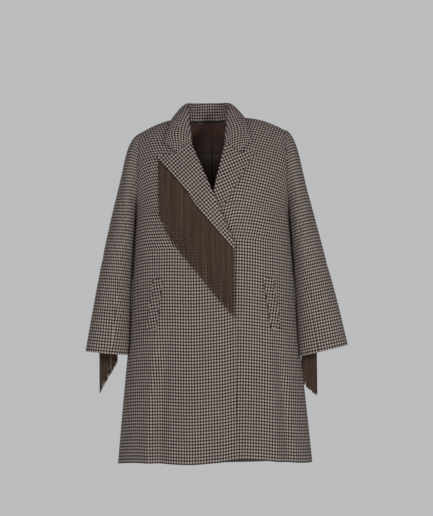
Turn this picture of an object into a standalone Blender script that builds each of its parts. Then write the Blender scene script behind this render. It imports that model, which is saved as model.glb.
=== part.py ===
"""A houndstooth coat with notched lapels and fringes, filled out as if it were worn.

Metres. x runs to the wearer's left, y to the back, z up. The origin is in the middle of the neck
opening, at the height of the nape, where a neck would carry the coat.
"""
from math import asin, cos, exp, pi, radians, sin

import bmesh
import bpy
from mathutils import Vector

# Walls and clearances
CLOTH = 0.0025           # coat cloth
TWO_LAYERS = 0.0036      # collar and lapels
WELT = 0.0030
LINING = 0.0010
SEAM = 0.00035           # each sewn piece is drawn in by this much at its seams
BACK_SEAM = 0.0006       # the back is drawn in a little more, for its shoulder seams
GORGE_GAP = 0.0040       # between the collar's ends and the lapels
LAID = 0.0008            # clearance under what lies on a panel
FRINGE_LAID = 0.0012     # and under the lapel's fringe

# Heights
HEM_Z = -0.933
BACK_HEM_DROP = 0.022    # the back's hem hangs lower than the front's
UNDERARM_Z = -0.258
CHEST_TOP_Z = -0.220     # above this height the panels round over to the shoulder seam
RISE = 0.300             # height of one unit of the coordinate h below CHEST_TOP_Z

# Shoulders and neck
SHOULDER_X = 0.200
NECK_SIDE_X = 0.078      # from the middle of the neck to its side, where the shoulder seam starts
NECK_SIDE_Z = 0.006
NECK_X = -0.010          # the closed fronts draw the neck this far to the wearer's right
NAPE_H = 0.700           # h of the back panel's neck edge at its lowest point
SHOULDER_SLOPE = 0.377
SHOULDER_LEAN = 0.017    # the wearer's left shoulder is a little higher
RIDGE = 0.035            # rounds the shoulder line off over the neck

# Sections of the body: superellipses, one row for each height
SECTION_POWER = 2.3
SECTIONS = (
    # z,     half width, front depth, back depth
    (-0.960, 0.2665, 0.157, 0.152),
    (-0.820, 0.2535, 0.151, 0.146),
    (-0.690, 0.2405, 0.146, 0.140),
    (-0.590, 0.2305, 0.142, 0.135),
    (-0.430, 0.2195, 0.138, 0.129),
    (-0.290, 0.2108, 0.135, 0.124),
    (-0.258, 0.2095, 0.134, 0.122),
    (-0.200, 0.2170, 0.132, 0.120),
    (-0.130, 0.2230, 0.128, 0.117),
    (-0.040, 0.2240, 0.124, 0.115),
    (0.040, 0.2240, 0.124, 0.115),
)
HALF_WIDTH, FRONT_DEPTH, BACK_DEPTH = 1, 2, 3
FRONT, BACK = -1, 1
ROUNDING = {FRONT: 1.7, BACK: 2.4}    # power of the curve from the chest to the shoulder seam

# Long soft folds of the skirt: ridges are positive, troughs negative
FOLDS = (
    # side, place round the body, width, height, starts at z, full at z
    (FRONT, -0.450, 0.050, 0.008, -0.50, -0.80),
    (FRONT, -0.345, 0.060, -0.010, -0.52, -0.80),
    (FRONT, -0.160, 0.090, 0.004, -0.60, -0.90),
    (FRONT, 0.400, 0.060, 0.007, -0.52, -0.80),
    (FRONT, 0.500, 0.055, -0.010, -0.52, -0.80),
    (BACK, -0.520, 0.100, 0.009, -0.45, -0.85),
    (BACK, -0.270, 0.090, -0.008, -0.42, -0.85),
    (BACK, 0.010, 0.110, 0.010, -0.38, -0.85),
    (BACK, 0.280, 0.090, -0.008, -0.42, -0.85),
    (BACK, 0.520, 0.100, 0.009, -0.45, -0.85),
)

# Front edges: from the hem up to the break, then the roll line, then the neck seam
FRONT_EDGE = {
    "right": ((HEM_Z, 0.0586), (-0.3624, 0.0586), (-0.0713, -0.0591), (0.006, -0.088)),
    "left": ((HEM_Z, -0.0390), (-0.3399, -0.0254), (-0.0713, 0.0396), (0.006, 0.068)),
}
OVERLAP_REACH = 0.055    # the top front starts to lift this far outside the edge below it
OVERLAP_RISE = 0.045
OVER_LAPEL = 0.0088      # how far the top front is out where the lower lapel lies under it
OVER_FRONT = 0.0046      # and below that lapel

# Lapels, seen from the front: the roll line is the front edge's, the outer edge is this one
NOTCH = (0.0826, -0.1006)    # from the middle of the neck, and z
LAPEL_OUTER = {
    "right": ((-0.1083, -0.1504), (-0.1825, -0.0839), (-0.2730, -0.0206), (-0.3380, 0.0361),
              (-0.3585, 0.0513)),
    "left": ((-0.0907, 0.1194), (-0.1519, 0.0838), (-0.2030, 0.0553), (-0.2441, 0.0305),
             (-0.3302, -0.0176)),
}

# Collar: stations from the nape to the gorge
COLLAR = (
    # t,   fold x, fold y, fold z, edge x, edge over the shoulder, foot turned inside (degrees)
    (0.00, 0.0000, 0.0800, 0.0560, 0.0000, -0.450, 0.0),
    (0.20, 0.0330, 0.0690, 0.0550, 0.0520, -0.400, 0.0),
    (0.38, 0.0530, 0.0380, 0.0520, 0.0830, -0.220, 0.0),
    (0.50, 0.0570, 0.0060, 0.0450, 0.0950, 0.000, 10.0),
    (0.66, 0.0560, -0.0330, 0.0200, 0.1010, 0.200, 35.0),
    (0.83, 0.0530, -0.0620, -0.0260, 0.1080, 0.365, 65.0),
    (1.00, 0.0480, -0.0905, -0.0700, 0.1148, 0.495, 90.0),
)
FALL_OUT = 0.0052        # middle of the fall's wall over the body's surface
FOLD_SPREAD = 0.0145     # half the width of the roll at the fold, before it is rounded
STAND_BOW = 0.004        # how far the stand's ends bow inward, round the edges of the fronts
FOLD_ROUNDING = 0.04     # how far across the collar the fold is rounded at its ends
NOTCH_FROM = 0.80        # from this t on, the leaf turns to the line of its end
NOTCH_ACROSS = 0.75      # where the notch lies across the collar

# Sleeves: how far out the outer line and the inner line lie, the middle's y and half the depth
SLEEVES = {
    "right": (
        # t,   outer x, outer z, inner x, inner z, middle y, half depth
        (0.00, 0.2000, -0.0430, 0.2130, -0.2600, 0.000, 0.060),
        (0.06, 0.2215, -0.0520, 0.2142, -0.2680, 0.000, 0.064),
        (0.14, 0.2340, -0.0780, 0.2148, -0.2780, 0.001, 0.068),
        (0.25, 0.2445, -0.1300, 0.2158, -0.2960, 0.002, 0.072),
        (0.38, 0.2600, -0.1950, 0.2180, -0.3350, 0.002, 0.074),
        (0.52, 0.2800, -0.2750, 0.2218, -0.3950, 0.000, 0.072),
        (0.70, 0.3035, -0.3850, 0.2270, -0.4750, -0.010, 0.064),
        (0.86, 0.3270, -0.5100, 0.2335, -0.5600, -0.024, 0.055),
        (1.00, 0.3485, -0.6320, 0.2430, -0.6430, -0.040, 0.046),
    ),
    "left": (
        (0.00, 0.2000, -0.0400, 0.2130, -0.2600, 0.000, 0.060),
        (0.06, 0.2225, -0.0470, 0.2142, -0.2680, 0.000, 0.064),
        (0.14, 0.2345, -0.0740, 0.2148, -0.2780, 0.001, 0.068),
        (0.25, 0.2455, -0.1280, 0.2158, -0.2960, 0.002, 0.072),
        (0.38, 0.2600, -0.1930, 0.2180, -0.3350, 0.002, 0.074),
        (0.52, 0.2810, -0.2750, 0.2218, -0.3950, 0.000, 0.072),
        (0.70, 0.3080, -0.3850, 0.2270, -0.4750, -0.010, 0.064),
        (0.86, 0.3380, -0.5050, 0.2335, -0.5620, -0.024, 0.055),
        (1.00, 0.3635, -0.6220, 0.2415, -0.6510, -0.040, 0.048),
    ),
}
SLEEVE_HEAD = 0.25       # share of the sleeve over which it leaves the armhole's shape
ARMHOLE_GAP = 0.0020
UNDERARM_GAP = 0.0034
SLEEVE_SEAM = 0.0007     # each half of a sleeve is drawn in by this much
SLEEVE_SEAMS = (-104.0, 104.0)    # hind seam and front seam, in degrees from the outer line
TOWARDS = {"right": -1.0, "left": 1.0}

# Pocket welts, seen from the front: the middle of the upper and of the lower end
WELT_TOP = (0.1456, -0.4386)
WELT_FOOT = (0.1651, -0.5754)
WELT_WIDTH = 0.0264

# Fringes
BAND = 0.0012            # thickness of a fringe's band
BAND_HEIGHT = 0.006
LAPEL_STEPS = (0.12, 0.30, 0.60, 1.0)    # how far down a strand its joints lie
CUFF_STEPS = (1.0,)
STRAND_TAPER = 0.90
STRAND_LIFT = 0.0016     # how much further out a strand hangs below the band
FRINGE_TUCK = 0.003      # the band's lower edge lies this far above the lapel's edge
LAPEL_STRANDS = 64
LAPEL_FRINGE = (
    # x of the strand, z of its lower end
    (-0.1430, -0.264),
    (-0.1365, -0.277),
    (-0.1176, -0.323),
    (-0.0859, -0.369),
    (-0.0479, -0.414),
    (0.0024, -0.479),
    (0.0500, -0.530),
)
CUFF_STRANDS = 20
CUFF_STRAND_LENGTH = 0.170
BAND_ALONG = 0.008       # height of a cuff band, as a share of the sleeve
CUFF_ROOTS = {
    # along the sleeve and round it from the outer line, at the first and at the last strand
    "right": ((0.800, -97.0), (0.935, -57.0)),
    "left": ((0.860, -138.0), (0.940, -98.0)),
}

# Linings on the inside of the back
YOKE_SEAM_Z = -0.080
LINING_FOOT_Z = -0.330
LINING_HALF_WIDTH = 0.135
YOKE_HALF_WIDTH = 0.118
LINING_GAP = 0.0017
LINING_TOP_H = 0.66      # h of the lining's upper edge, just under the neck's lowest point

COLOURS = {
    "houndstooth": (0.135, 0.108, 0.098, 1.0),
    "fringe": (0.060, 0.042, 0.032, 1.0),
    "lining": (0.016, 0.010, 0.009, 1.0),
}
ROUGHNESS = {"houndstooth": 0.9, "fringe": 0.9, "lining": 0.45}


def eased(rows, at, column):
    """A column of a table at any key, on one smooth curve through the rows."""
    last = len(rows) - 1
    if (at - rows[0][0]) * (rows[last][0] - rows[0][0]) <= 0.0:
        return rows[0][column]
    if abs(at - rows[0][0]) >= abs(rows[last][0] - rows[0][0]):
        return rows[last][column]
    low = 0
    while (at - rows[low + 1][0]) * (rows[last][0] - rows[0][0]) > 0.0:
        low += 1
    span = rows[low + 1][0] - rows[low][0]
    t = (at - rows[low][0]) / span

    def slope(row):
        before, after = max(row - 1, 0), min(row + 1, last)
        return (rows[after][column] - rows[before][column]) / (rows[after][0] - rows[before][0])

    start, end = rows[low][column], rows[low + 1][column]
    rise = span * (slope(low) * t * (1 - t) ** 2 - slope(low + 1) * t * t * (1 - t))
    return start + (end - start) * t * t * (3 - 2 * t) + rise


def straight(rows, at, column=1):
    """A column of a table at any key, on straight lines between the rows."""
    for low, high in zip(rows, rows[1:]):
        if min(low[0], high[0]) <= at <= max(low[0], high[0]):
            return low[column] + (high[column] - low[column]) * (at - low[0]) / (high[0] - low[0])
    return rows[0][column] if abs(at - rows[0][0]) < abs(at - rows[-1][0]) else rows[-1][column]


def mix(start, end, t):
    return start + (end - start) * t


def smooth_step(t):
    t = min(max(t, 0.0), 1.0)
    return t * t * (3 - 2 * t)


# ---- the body's surface ----

def shoulder_z(x):
    """Height of the shoulder seam's line over x, rounded over the neck."""
    from_neck = (((x - NECK_X) ** 2 + RIDGE ** 2) ** 0.5) - ((NECK_SIDE_X ** 2 + RIDGE ** 2) ** 0.5)
    return NECK_SIDE_Z - SHOULDER_SLOPE * from_neck + SHOULDER_LEAN * x


def height(h, x, side):
    """z at the coordinate h: 0 at the top of the chest, 1 on the shoulder seam."""
    if h <= 0.0:
        return CHEST_TOP_Z + h * RISE
    climb = sin(h * pi / 2) ** (2 / ROUNDING[side])
    return CHEST_TOP_Z + (shoulder_z(x) - CHEST_TOP_Z) * climb


def height_coordinate(x, z, side):
    if z <= CHEST_TOP_Z:
        return (z - CHEST_TOP_Z) / RISE
    climb = min((z - CHEST_TOP_Z) / (shoulder_z(x) - CHEST_TOP_Z), 1.0)
    return asin(climb ** (ROUNDING[side] / 2)) * 2 / pi


def round_coordinate(x, z):
    """The coordinate q: 0 at the middle of the front or back, 1 and -1 at the side seams."""
    share = min(abs(x) / eased(SECTIONS, z, HALF_WIDTH), 1.0)
    q = asin(share ** (SECTION_POWER / 2)) * 2 / pi
    return q if x >= 0.0 else -q


def fold_at(q, z, side):
    depth = 0.0
    for fold_side, place, width, size, start, full in FOLDS:
        if fold_side == side:
            grown = smooth_step((start - z) / (start - full))
            depth += size * grown * exp(-((q - place) / width) ** 2)
    return depth * smooth_step((1.0 - abs(q)) / 0.2)


def surface(q, h, side):
    across = sin(abs(q) * pi / 2) ** (2 / SECTION_POWER)
    across = across if q >= 0.0 else -across
    x = across * eased(SECTIONS, height(h, across * SHOULDER_X, side), HALF_WIDTH)
    z = height(h, x, side)
    depth = eased(SECTIONS, z, FRONT_DEPTH if side == FRONT else BACK_DEPTH)
    inward = cos(abs(q) * pi / 2) ** (2 / SECTION_POWER)
    if h > 0.0:
        inward *= max(cos(h * pi / 2), 0.0) ** (2 / ROUNDING[side])
    depth = (depth + fold_at(q, z, side)) * inward
    return Vector((x, side * depth, z))


def body(q, h, side, out=0.0):
    """A point of the body's surface, moved out along the surface's normal."""
    point = surface(q, h, side)
    if out == 0.0:
        return point
    step = 0.012
    q_low, q_high = max(q - step, -1.0), min(q + step, 1.0)
    h_low, h_high = h - step, min(h + step, 1.0)
    round_it = surface(q_high, h, side) - surface(q_low, h, side)
    up_it = surface(q, h_high, side) - surface(q, h_low, side)
    normal = round_it.cross(up_it).normalized() * (-side)
    return point + normal * out


def on_front(x, z, out=0.0):
    return body(round_coordinate(x, z), height_coordinate(x, z, FRONT), FRONT, out)


def on_back(x, z, out=0.0):
    return body(round_coordinate(x, z), height_coordinate(x, z, BACK), BACK, out)


def over_shoulder(x, over, out):
    """A point near the shoulder seam: over is negative on the back and positive on the front."""
    side = BACK if over < 0.0 else FRONT
    h = 1.0 - abs(over)
    return body(round_coordinate(x, height(h, x, side)), h, side, out)


# ---- making pieces ----

def fabric(name, kind):
    """A material of its own for one piece."""
    material = bpy.data.materials.new(name)
    material.use_nodes = True
    shader = material.node_tree.nodes["Principled BSDF"]
    shader.inputs["Base Color"].default_value = COLOURS[kind]
    shader.inputs["Roughness"].default_value = ROUGHNESS[kind]
    shader.inputs["Metallic"].default_value = 0.0
    return material


def finish(name, bm, kind, collection, wall=0.0):
    mesh = bpy.data.meshes.new(name)
    bm.to_mesh(mesh)
    bm.free()
    mesh.shade_smooth()
    mesh.set_sharp_from_angle(angle=radians(40))
    mesh.materials.append(fabric(name, kind))
    piece = bpy.data.objects.new(name, mesh)
    collection.objects.link(piece)
    if wall:
        thicken = piece.modifiers.new("wall", "SOLIDIFY")
        thicken.thickness = wall
        thicken.offset = 0.0
    return piece


def open_seams(bm, gap):
    """Draws the sheet's border in by the gap, so that it stays clear of the next piece."""
    moves = []
    for vert in bm.verts:
        if not vert.is_boundary:
            continue
        border = [edge.other_vert(vert).co for edge in vert.link_edges if edge.is_boundary]
        inner = [edge.other_vert(vert).co for edge in vert.link_edges if not edge.is_boundary]
        if inner:
            inward = (inner[0] - vert.co).normalized()
            along = (border[1] - border[0]).normalized()
            slant = (inward - along * inward.dot(along)).length
            moves.append((vert, inward * gap / max(slant, 0.25)))
        else:
            moves.append((vert, sum(((co - vert.co).normalized() for co in border), Vector()) * gap))
    for vert, move in moves:
        vert.co += move


def sheet(name, columns, rows, place, kind, collection, wall, gap=SEAM):
    """A wall of cloth: a grid whose points are placed by place(u, v), both from 0 to 1."""
    bm = bmesh.new()
    bmesh.ops.create_grid(bm, x_segments=columns, y_segments=rows, size=0.5)
    for vert in bm.verts:
        vert.co = place(vert.co.x + 0.5, vert.co.y + 0.5)
    open_seams(bm, gap)
    bmesh.ops.triangulate(bm, faces=bm.faces)    # both faces of the wall bend along the same lines
    bmesh.ops.recalc_face_normals(bm, faces=bm.faces)
    return finish(name, bm, kind, collection, wall)


# ---- fronts and back ----

def neck_h(x):
    """h of the back's neck edge, up to the shoulder seam at the sides of the neck."""
    share = min(abs(x - NECK_X) / NECK_SIDE_X, 1.0)
    return 1.0 - (1.0 - NAPE_H) * (1.0 - share ** 2) ** 0.5


def armhole_q(s):
    """q of the armhole's edge, s from the underarm to the shoulder seam."""
    shoulder_q = round_coordinate(SHOULDER_X, -0.040)
    scoop = (1.0 - (1.0 - s) ** 3) ** 0.5
    return 1.0 - (1.0 - shoulder_q) * scoop


def row_heights(v, underarm_row):
    """Splits v into the part below the underarm and the part s above it."""
    if v <= underarm_row:
        return v / underarm_row, 0.0
    return 1.0, (v - underarm_row) / (1.0 - underarm_row)


UNDERARM_H = (UNDERARM_Z - CHEST_TOP_Z) / RISE
UNDERARM_ROW = 0.60


def hem_h(q, side):
    to_back = (1.0 + side * (1.0 - abs(q))) / 2
    return (HEM_Z - BACK_HEM_DROP * to_back ** 1.6 - CHEST_TOP_Z) / RISE


def back_point(u, v):
    across = 2.0 * u - 1.0
    low, s = row_heights(v, UNDERARM_ROW)
    q = across * armhole_q(s)
    if v <= UNDERARM_ROW:
        return body(q, mix(hem_h(q, BACK), UNDERARM_H, low), BACK)
    top = 1.0
    x_top = surface(across * armhole_q(1.0), 1.0, BACK).x
    if abs(x_top - NECK_X) < NECK_SIDE_X:
        top = neck_h(x_top)
    return body(q, mix(UNDERARM_H, top, s), BACK)


def edge_x(side_name, h):
    """x of a front's inner edge at the coordinate h."""
    rows = FRONT_EDGE[side_name]
    x = 0.0
    for _ in range(4):
        x = straight(rows, height(h, x, FRONT))
    return x


def overlap(x, z):
    """How far the top front is out, over the front and the lapel below it."""
    under = straight(FRONT_EDGE["left"], z)
    lifted = smooth_step((x - under + OVERLAP_REACH) / OVERLAP_RISE)
    return lifted * mix(OVER_LAPEL, OVER_FRONT, smooth_step((-0.345 - z) / 0.08))


def front_point(side_name, u, v):
    """u runs from the front edge to the side seam and the armhole."""
    low, s = row_heights(v, UNDERARM_ROW)
    h = mix(mix(hem_h(0.0, FRONT), UNDERARM_H, low), 1.0, s)
    x = edge_x(side_name, h)
    q = mix(round_coordinate(x, height(h, x, FRONT)), TOWARDS[side_name] * armhole_q(s), u)
    if s == 0.0:
        h = mix(hem_h(q, FRONT), UNDERARM_H, low)
    point = surface(q, h, FRONT)
    if side_name == "left":
        return point
    return body(q, h, FRONT, overlap(point.x, point.z))


# ---- lapels ----

def lapel_point(side_name, u, v):
    """u from the roll line to the outer edge, v from the gorge down to the break."""
    outer = LAPEL_OUTER[side_name]
    edge = FRONT_EDGE[side_name]
    top_roll = edge[2][0]
    break_z = edge[1][0]
    roll_z = mix(top_roll, break_z + 0.004, v)
    roll_x = straight(edge, roll_z)
    outer_z = mix(outer[0][0], outer[-1][0], v)
    outer_x = eased(outer, outer_z, 1)
    x, z = mix(roll_x, outer_x, u), mix(roll_z, outer_z, u)
    # the top edge dips to the notch
    notch_x = NECK_X + TOWARDS[side_name] * NOTCH[0]
    notch_u = (notch_x - edge[2][1]) / (outer[0][1] - edge[2][1])
    dip = NOTCH[1] - mix(top_roll, outer[0][0], notch_u)
    tent = min(u / notch_u, (1.0 - u) / (1.0 - notch_u))
    z += (dip * tent - GORGE_GAP) * (1.0 - v) ** 4
    out = CLOTH / 2 + LAID + TWO_LAYERS / 2
    if side_name == "right":
        out += BAND + FRINGE_LAID + overlap(x, z)
    return on_front(x, z, out)


# ---- collar ----

def neck_edge(t, side_name):
    """The body's neck seam: along the back panel to t = 0.45, then down the front to the gorge."""
    towards = TOWARDS[side_name]
    if t <= 0.45:
        x = NECK_X + towards * NECK_SIDE_X * sin(t / 0.45 * pi / 2)
        h = neck_h(x)
        return body(round_coordinate(x, height(h, x, BACK)), h, BACK)
    rows = FRONT_EDGE[side_name]
    z = mix(rows[3][0], rows[2][0], (t - 0.45) / 0.55)
    return on_front(straight(rows, z), min(z, rows[3][0] - 0.0005))


def collar_fold(t, towards):
    return Vector((NECK_X + towards * eased(COLLAR, t, 1), eased(COLLAR, t, 2), eased(COLLAR, t, 3)))


def collar_point(along, across):
    """along from the wearer's right end to the left end, across from the foot to the edge."""
    side_name = "right" if along < 0.5 else "left"
    towards = TOWARDS[side_name]
    t = abs(2.0 * along - 1.0)
    fold = collar_fold(t, towards)
    edge = over_shoulder(NECK_X + towards * eased(COLLAR, t, 4), eased(COLLAR, t, 5), FALL_OUT)
    turned = radians(eased(COLLAR, t, 6))
    seam = neck_edge(t, side_name)
    inside = Vector((-seam.x + NECK_X, -seam.y + 0.02, 0.0)).normalized()
    if t > 0.45:
        inside = mix(inside, Vector((0.0, 1.0, 0.0)), smooth_step((t - 0.45) / 0.3))
    reach = mix(0.0022, 0.0046, sin(turned))
    foot = seam + (Vector((0.0, 0.0, 1.0)) * cos(turned) + inside * sin(turned)) * reach
    # one curve from the foot over the fold to the edge
    middle = (fold * 8.0 - foot - edge) / 6.0
    fold_line = collar_fold(min(t + 0.03, 1.0), towards) - collar_fold(t - 0.03, towards)
    spread = fold_line.cross(foot + edge - fold * 2.0).normalized() * FOLD_SPREAD
    if spread.dot(edge - foot) < 0.0:
        spread.negate()
    handles = (foot, middle - spread, middle + spread, edge)
    back, on = 1.0 - across, across
    weights = (back ** 3, 3 * on * back ** 2, 3 * on ** 2 * back, on ** 3)
    point = sum((handle * weight for handle, weight in zip(handles, weights)), Vector())
    # the leaf's end runs from the foot to the fold, the notch and its tip
    if t > NOTCH_FROM:
        notch = Vector((NECK_X + towards * NOTCH[0], 0.0, NOTCH[1]))
        bowed = (foot + fold) / 2 - Vector((towards * STAND_BOW, 0.0, 0.0))
        corners = ((0.0, foot), (0.25, bowed), (0.5, fold), (NOTCH_ACROSS, notch), (1.0, edge))
        end = Vector()
        for near in (across - FOLD_ROUNDING, across, across + FOLD_ROUNDING):
            near = min(max(near, 0.0), 1.0)
            for (low, start), (high, stop) in zip(corners, corners[1:]):
                if low <= near <= high:
                    place = mix(start, stop, (near - low) / (high - low))
                    break
            end += (on_front(place.x, place.z, FALL_OUT) if near > 0.5 else place) / 3.0
        point = mix(point, end, ((t - NOTCH_FROM) / (1.0 - NOTCH_FROM)) ** 2)
    if across > 0.55 and point.z < shoulder_z(point.x) - 0.006:
        if point.y < 0.0:
            point.y = min(point.y, on_front(point.x, point.z, FALL_OUT).y)
        else:
            point.y = max(point.y, on_back(point.x, point.z, FALL_OUT).y)
    return point


# ---- sleeves ----

def armhole(side_name, angle):
    """The armhole's edge: 0 degrees at the shoulder seam, 90 at the front, 180 at the underarm."""
    angle = angle - 360.0 if angle > 180.0 else angle
    side = FRONT if angle >= 0.0 else BACK
    shoulder = TOWARDS[side_name] * SHOULDER_X
    z = mix(UNDERARM_Z, shoulder_z(shoulder), (1.0 + cos(radians(angle))) / 2)
    h = height_coordinate(shoulder, z, side)
    q = TOWARDS[side_name] * armhole_q((h - UNDERARM_H) / (1.0 - UNDERARM_H))
    return surface(q, h, side)


def sleeve_point(side_name, angle, t):
    """A point of the sleeve's surface: angle round it from the outer line, t from head to cuff."""
    rows = SLEEVES[side_name]
    towards = TOWARDS[side_name]
    outer = Vector((eased(rows, t, 1), 0.0, eased(rows, t, 2)))
    inner = Vector((eased(rows, t, 3), 0.0, eased(rows, t, 4)))
    centre = (outer + inner) / 2
    turn = radians(angle)
    point = centre + (outer - inner) / 2 * cos(turn)
    point.y = eased(rows, t, 5) - eased(rows, t, 6) * sin(turn)
    point.x *= towards
    if t < SLEEVE_HEAD:
        hole = armhole(side_name, angle)
        lower = (1.0 - cos(turn)) / 2
        hole.x += towards * mix(ARMHOLE_GAP, UNDERARM_GAP, lower ** 4)
        point = mix(point, hole, (1.0 - t / SLEEVE_HEAD) ** 2)
    return point


def sleeve_half(side_name, name, start, end, columns, rows, collection):
    def place(u, v):
        return sleeve_point(side_name, mix(start, end, u), v)
    return sheet(name, columns, rows, place, "houndstooth", collection, CLOTH, SLEEVE_SEAM)


# ---- welts and linings ----

def welt_point(side_name, u, v):
    towards = TOWARDS[side_name]
    x, z = mix(WELT_TOP[0], WELT_FOOT[0], v), mix(WELT_TOP[1], WELT_FOOT[1], v)
    slope = (WELT_FOOT[0] - WELT_TOP[0]) / (WELT_FOOT[1] - WELT_TOP[1])
    across = (u - 0.5) * WELT_WIDTH
    return on_front(towards * (x + across), z - slope * across, CLOTH / 2 + LAID + WELT / 2)


def lining_point(side_name, half_width, foot_z, top_z, u, v):
    """The inside of the back, from foot_z up to top_z, or to just under the neck."""
    x = TOWARDS[side_name] * mix(SEAM / 2, half_width, u)
    top_h = LINING_TOP_H if top_z is None else height_coordinate(x, top_z, BACK)
    h = mix(height_coordinate(x, foot_z, BACK), top_h, v)
    return body(round_coordinate(x, height(h, x, BACK)), h, BACK, -(CLOTH / 2 + LINING_GAP + LINING / 2))


# ---- fringes ----

def fringe(name, strands, steps, path, collection):
    """Strands that hang from one thin band.

    path(along, down, out) is a point: along the band from 0 to 1, down a strand from 0 at the band's
    lower edge to 1 at the strand's end, and negative up the band.
    """
    bm = bmesh.new()
    bmesh.ops.create_cube(bm, size=1.0)
    long_edges = [edge for edge in bm.edges if abs(edge.verts[0].co.x - edge.verts[1].co.x) > 0.5]
    bmesh.ops.subdivide_edges(bm, edges=long_edges, cuts=2 * strands - 2)
    roots = [face for face in bm.faces if face.calc_center_median().z < -0.49]
    roots.sort(key=lambda face: face.calc_center_median().x)
    roots = roots[::2]
    for down in steps:
        roots = bmesh.ops.extrude_discrete_faces(bm, faces=roots)["faces"]
        for face in roots:
            centre = face.calc_center_median()
            for vert in face.verts:
                vert.co.x = mix(centre.x, vert.co.x, STRAND_TAPER)
                vert.co.y *= STRAND_TAPER
                vert.co.z = -0.5 - down
    for vert in bm.verts:
        local = vert.co.copy()
        vert.co = path(local.x + 0.5, -0.5 - local.z, -local.y * BAND)
    bmesh.ops.recalc_face_normals(bm, faces=bm.faces)
    if bm.calc_volume(signed=True) < 0.0:
        bmesh.ops.reverse_faces(bm, faces=bm.faces)
    return finish(name, bm, "fringe", collection)


def lapel_fringe_path(along, down, out):
    x = mix(LAPEL_FRINGE[0][0], LAPEL_FRINGE[-1][0], along)
    root_z = straight([(row[1], row[0]) for row in LAPEL_OUTER["right"]], x) + FRINGE_TUCK
    tip_z = eased(LAPEL_FRINGE, x, 1)
    z = root_z + BAND_HEIGHT if down < 0.0 else mix(root_z, tip_z, down)
    rest = CLOTH / 2 + FRINGE_LAID + BAND / 2
    lift = STRAND_LIFT * smooth_step(down * 4.0)
    return on_front(x, z, overlap(x, z) + rest + lift + out)


def cuff_fringe_path(side_name, along, down, out):
    (t_start, angle_start), (t_end, angle_end) = CUFF_ROOTS[side_name]
    t, angle = mix(t_start, t_end, along), mix(angle_start, angle_end, along)
    t -= BAND_ALONG if down < 0.0 else 0.0
    root = sleeve_point(side_name, angle, t)
    round_it = sleeve_point(side_name, angle + 2.0, t) - root
    along_it = sleeve_point(side_name, angle, t + 0.01) - root
    normal = round_it.cross(along_it).normalized() * TOWARDS[side_name]
    point = root + normal * (CLOTH / 2 + LAID + BAND / 2 + out)
    point.z -= max(down, 0.0) * CUFF_STRAND_LENGTH
    return point


def main():
    for old in list(bpy.data.objects):
        bpy.data.objects.remove(old, do_unlink=True)
    collection = bpy.data.collections.new("houndstooth coat")
    bpy.context.scene.collection.children.link(collection)

    sheet("back", 26, 22, back_point, "houndstooth", collection, CLOTH, BACK_SEAM)
    for side_name in ("right", "left"):
        sheet("front_" + side_name, 14, 22,
              lambda u, v, s=side_name: front_point(s, u, v), "houndstooth", collection, CLOTH)
        sheet("lapel_" + side_name, 6, 14,
              lambda u, v, s=side_name: lapel_point(s, u, v), "houndstooth", collection, TWO_LAYERS)
        hind, fore = SLEEVE_SEAMS
        sleeve_half(side_name, "top_sleeve_" + side_name, hind, fore, 14, 16, collection)
        sleeve_half(side_name, "under_sleeve_" + side_name, fore, 360.0 + hind, 10, 16, collection)
        sheet("pocket_welt_" + side_name, 3, 8,
              lambda u, v, s=side_name: welt_point(s, u, v), "houndstooth", collection, WELT)
        sheet("lining_yoke_" + side_name, 6, 5,
              lambda u, v, s=side_name: lining_point(s, YOKE_HALF_WIDTH, YOKE_SEAM_Z, None, u, v),
              "lining", collection, LINING)
        sheet("lining_back_" + side_name, 6, 8,
              lambda u, v, s=side_name: lining_point(s, LINING_HALF_WIDTH, LINING_FOOT_Z, YOKE_SEAM_Z, u, v),
              "lining", collection, LINING)
        fringe("cuff_fringe_" + side_name, CUFF_STRANDS, CUFF_STEPS,
               lambda along, down, out, s=side_name: cuff_fringe_path(s, along, down, out),
               collection)
    sheet("collar", 36, 12, collar_point, "houndstooth", collection, TWO_LAYERS)
    fringe("lapel_fringe", LAPEL_STRANDS, LAPEL_STEPS, lapel_fringe_path, collection)


main()
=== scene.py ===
import random
from math import asin, cos, exp, pi, radians, sin

import bmesh
import bpy
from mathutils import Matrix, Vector


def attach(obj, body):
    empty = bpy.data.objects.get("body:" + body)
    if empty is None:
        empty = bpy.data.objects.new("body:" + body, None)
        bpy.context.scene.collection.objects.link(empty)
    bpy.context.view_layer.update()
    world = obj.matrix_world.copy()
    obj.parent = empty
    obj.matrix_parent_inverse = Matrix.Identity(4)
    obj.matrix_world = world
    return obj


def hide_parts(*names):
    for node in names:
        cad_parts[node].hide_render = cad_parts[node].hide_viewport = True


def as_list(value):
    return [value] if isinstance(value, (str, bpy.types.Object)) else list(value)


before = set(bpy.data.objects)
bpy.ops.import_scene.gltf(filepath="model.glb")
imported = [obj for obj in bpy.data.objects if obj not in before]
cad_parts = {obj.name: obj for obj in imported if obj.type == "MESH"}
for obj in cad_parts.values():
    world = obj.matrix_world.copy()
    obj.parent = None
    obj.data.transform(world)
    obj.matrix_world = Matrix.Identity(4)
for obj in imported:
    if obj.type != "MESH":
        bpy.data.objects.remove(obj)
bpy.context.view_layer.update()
print("frame loaded")

# metres throughout: x to the wearer's left, y to the back, z up, the neck at the origin
right, left = "right", "left"
towards = {right: -1.0, left: 1.0}
front, back = -1, 1


def mix(start, end, t):
    return start + (end - start) * t


def smoothStep(t):
    t = min(max(t, 0.0), 1.0)
    return t * t * (3 - 2 * t)


def slopeAt(rows, row, column):
    before, after = max(row - 1, 0), min(row + 1, len(rows) - 1)
    return (rows[after][column] - rows[before][column]) / (rows[after][0] - rows[before][0])


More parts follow.
